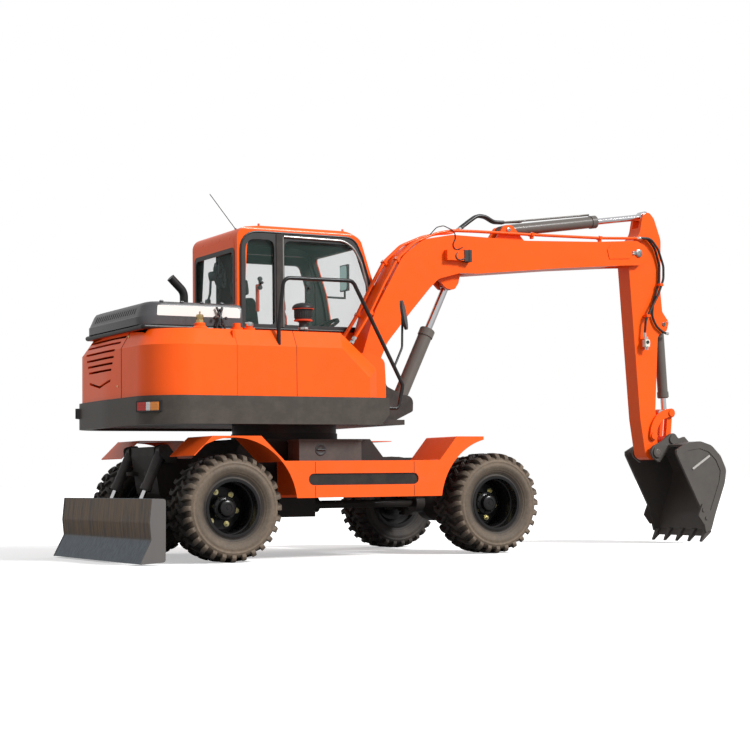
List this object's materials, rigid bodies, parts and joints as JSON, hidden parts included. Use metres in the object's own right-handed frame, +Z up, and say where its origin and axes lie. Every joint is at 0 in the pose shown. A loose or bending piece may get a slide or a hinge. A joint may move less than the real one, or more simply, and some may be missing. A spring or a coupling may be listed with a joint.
{
  "type": "wheeled excavator",
  "caption": "Compact wheeled excavator: steered axle, side fenders, dozer blade, slewing body with hollow cab and engine bay, goose-neck boom, arm and toothed bucket on hydraulic rams.",
  "frame": {"origin": "on the ground under the middle of the overall length and width, with the boom out and the bucket down as in the picture", "axes": "+X forward to the bucket, +Y to the left, +Z up"},
  "size_m": [5.6145, 1.95, 2.9289],
  "materials": {
    "body_paint": "satin orange paint, dusty",
    "chassis_paint": "satin dark grey paint, dusty",
    "dark_paint": "satin near-black paint",
    "black_paint": "satin black paint, dusty",
    "rim_paint": "gloss black paint",
    "blade_paint": "worn grey paint",
    "bucket_paint": "worn dark grey paint",
    "steel": "bare worn steel",
    "iron": "bare casting",
    "chrome": "bright chrome",
    "tyre": "dusty rubber",
    "lamp_plastic": "red and amber lens",
    "black_plastic": "matte black",
    "seat_cloth": "woven",
    "glass": "clear tinted"
  },
  "bodies": {
    "chassis": {"chassis_frame": "chassis_paint", "slew_ring_lower": "steel", "side_fender_left": "body_paint", "side_fender_right": "body_paint", "tool_box": "dark_paint", "axle_housings": "black_paint", "transmission": "black_paint"},
    "knuckle_left": {"knuckle_left": "black_paint"},
    "knuckle_right": {"knuckle_right": "black_paint"},
    "wheel_front_left": {"tyre_front_left": "tyre", "rim_front_left": "rim_paint", "hub_front_left": "black_paint"},
    "wheel_front_right": {"tyre_front_right": "tyre", "rim_front_right": "rim_paint", "hub_front_right": "black_paint"},
    "wheel_rear_left": {"tyre_rear_left": "tyre", "rim_rear_left": "rim_paint", "hub_rear_left": "black_paint"},
    "wheel_rear_right": {"tyre_rear_right": "tyre", "rim_rear_right": "rim_paint", "hub_rear_right": "black_paint"},
    "blade": {"dozer_blade": "blade_paint"},
    "blade_barrel_left": {"blade_ram_barrel_left": "black_paint"},
    "blade_rod_left": {"blade_ram_rod_left": "chrome"},
    "blade_barrel_right": {"blade_ram_barrel_right": "black_paint"},
    "blade_rod_right": {"blade_ram_rod_right": "chrome"},
    "upper": {"turntable": "body_paint", "tail_skirt": "dark_paint", "tail_lamps": "lamp_plastic", "engine_bay": "body_paint", "right_body": "body_paint", "engine_block": "iron", "air_cleaner": "black_plastic", "hand_rail": "dark_paint", "mirror_right": "black_plastic", "mirror_left": "black_plastic", "cab_shell": "body_paint", "cab_glass": "glass", "seat": "seat_cloth", "controls": "black_plastic"},
    "hood": {"engine_hood": "dark_paint", "exhaust_stack": "steel"},
    "door": {"cab_door": "body_paint", "door_glass": "glass"},
    "boom": {"boom": "body_paint", "boom_lamp": "black_plastic"},
    "boom_barrel": {"boom_ram_barrel": "black_paint"},
    "boom_rod": {"boom_ram_rod": "chrome"},
    "arm": {"arm": "body_paint"},
    "arm_barrel": {"arm_ram_barrel": "black_paint"},
    "arm_rod": {"arm_ram_rod": "chrome"},
    "bucket": {"bucket": "bucket_paint", "bucket_teeth": "steel"},
    "rocker": {"rocker": "body_paint"},
    "link": {"link": "body_paint"},
    "bucket_barrel": {"bucket_ram_barrel": "black_paint"},
    "bucket_rod": {"bucket_ram_rod": "chrome"}
  },
  "joints": [
    {"name": "steer_left", "type": "hinge", "parent": "chassis", "child": "knuckle_left", "pos_m": [0.1484, 0.505, 0.392], "axis": [0, 0, 1], "range_deg": [-27, 27]},
    {"name": "steer_right", "type": "hinge", "parent": "chassis", "child": "knuckle_right", "pos_m": [0.1484, -0.505, 0.392], "axis": [0, 0, 1], "range_deg": [-27, 27]},
    {"name": "wheel_front_left_spin", "type": "hinge", "parent": "knuckle_left", "child": "wheel_front_left", "pos_m": [0.1484, 0.7875, 0.392], "axis": [0, 1, 0], "continuous": true},
    {"name": "wheel_rear_left_spin", "type": "hinge", "parent": "chassis", "child": "wheel_rear_left", "pos_m": [-2.0966, 0.7875, 0.392], "axis": [0, 1, 0], "continuous": true},
    {"name": "wheel_front_right_spin", "type": "hinge", "parent": "knuckle_right", "child": "wheel_front_right", "pos_m": [0.1484, -0.7875, 0.392], "axis": [0, 1, 0], "continuous": true},
    {"name": "wheel_rear_right_spin", "type": "hinge", "parent": "chassis", "child": "wheel_rear_right", "pos_m": [-2.0966, -0.7875, 0.392], "axis": [0, 1, 0], "continuous": true},
    {"name": "blade_lift", "type": "hinge", "parent": "chassis", "child": "blade", "pos_m": [-2.2741, 0, 0.43], "axis": [0, 1, 0], "range_deg": [-15, 27]},
    {"name": "blade_barrel_left_swing", "type": "hinge", "parent": "chassis", "child": "blade_barrel_left", "pos_m": [-2.3941, 0.31, 0.82], "axis": [0, 1, 0], "range_deg": [-5.9, 10.46]},
    {"name": "blade_rod_left_slide", "type": "slide", "parent": "blade_barrel_left", "child": "blade_rod_left", "axis": [-0.3987, 0, -0.9171], "range_m": [-0.1329, 0.0743]},
    {"name": "blade_barrel_right_swing", "type": "hinge", "parent": "chassis", "child": "blade_barrel_right", "pos_m": [-2.3941, -0.31, 0.82], "axis": [0, 1, 0], "range_deg": [-5.9, 10.46]},
    {"name": "blade_rod_right_slide", "type": "slide", "parent": "blade_barrel_right", "child": "blade_rod_right", "axis": [-0.3987, 0, -0.9171], "range_m": [-0.1329, 0.0743]},
    {"name": "slew", "type": "hinge", "parent": "chassis", "child": "upper", "pos_m": [-1.2291, 0, 0.952], "axis": [0, 0, 1], "continuous": true},
    {"name": "hood_lift", "type": "hinge", "parent": "upper", "child": "hood", "pos_m": [-1.8591, 0, 1.732], "axis": [0, 1, 0], "range_deg": [0, 50]},
    {"name": "door_swing", "type": "hinge", "parent": "upper", "child": "door", "pos_m": [-1.3121, 0.915, 1.85], "axis": [0, 0, 1], "range_deg": [0, 150]},
    {"name": "boom_lift", "type": "hinge", "parent": "upper", "child": "boom", "pos_m": [-0.6441, -0.17, 1.47], "axis": [0, -1, 0], "range_deg": [-40, 38]},
    {"name": "boom_barrel_swing", "type": "hinge", "parent": "upper", "child": "boom_barrel", "pos_m": [-0.2941, -0.17, 1.2], "axis": [0, -1, 0], "range_deg": [-37.4, 35.54]},
    {"name": "boom_rod_slide", "type": "slide", "parent": "boom_barrel", "child": "boom_rod", "axis": [0.4399, 0, 0.898], "range_m": [-0.2872, 0.2729]},
    {"name": "arm_fold", "type": "hinge", "parent": "boom", "child": "arm", "pos_m": [2.0829, -0.17, 2.536], "axis": [0, 1, 0], "range_deg": [-70, 38]},
    {"name": "arm_barrel_swing", "type": "hinge", "parent": "boom", "child": "arm_barrel", "pos_m": [0.7579, -0.17, 2.668], "axis": [0, 1, 0], "range_deg": [-5.1, 2.86]},
    {"name": "arm_rod_slide", "type": "slide", "parent": "arm_barrel", "child": "arm_rod", "axis": [0.9896, 0, 0.144], "range_m": [-0.392, 0.2132]},
    {"name": "bucket_curl", "type": "hinge", "parent": "arm", "child": "bucket", "pos_m": [2.2339, -0.17, 0.798], "axis": [0, 1, 0], "range_deg": [-25, 125]},
    {"name": "rocker_swing", "type": "hinge", "parent": "arm", "child": "rocker", "pos_m": [2.2329, -0.17, 0.941], "axis": [0, 1, 0], "range_deg": [-20.2, 100.2]},
    {"name": "link_swing", "type": "hinge", "parent": "bucket", "child": "link", "pos_m": [2.4069, -0.17, 0.91], "axis": [0, 1, 0], "range_deg": [-78.33, 15.82]},
    {"name": "bucket_barrel_swing", "type": "hinge", "parent": "arm", "child": "bucket_barrel", "pos_m": [2.3839, -0.17, 1.927], "axis": [0, 1, 0], "range_deg": [-1.45, 0.45]},
    {"name": "bucket_rod_slide", "type": "slide", "parent": "bucket_barrel", "child": "bucket_rod", "axis": [0.0598, 0, -0.9982], "range_m": [-0.0795, 0.3937]}
  ],
  "couplings": [
    {"joint": "steer_right", "follows": "steer_left", "ratio": 1},
    {"joint": "boom_barrel_swing", "follows": "boom_lift", "ratio": 0.93},
    {"joint": "boom_rod_slide", "follows": "boom_lift", "m_per_rad": 0.41},
    {"joint": "arm_barrel_swing", "follows": "arm_fold", "ratio": 0.07},
    {"joint": "arm_rod_slide", "follows": "arm_fold", "m_per_rad": 0.32},
    {"joint": "rocker_swing", "follows": "bucket_curl", "ratio": 0.8},
    {"joint": "link_swing", "follows": "bucket_curl", "ratio": -0.625},
    {"joint": "bucket_barrel_swing", "follows": "bucket_curl", "ratio": -0.01},
    {"joint": "bucket_rod_slide", "follows": "bucket_curl", "m_per_rad": 0.18},
    {"joint": "blade_barrel_left_swing", "follows": "blade_lift", "ratio": 0.38},
    {"joint": "blade_rod_left_slide", "follows": "blade_lift", "m_per_rad": -0.28},
    {"joint": "blade_barrel_right_swing", "follows": "blade_lift", "ratio": 0.38},
    {"joint": "blade_rod_right_slide", "follows": "blade_lift", "m_per_rad": -0.28}
  ]
}
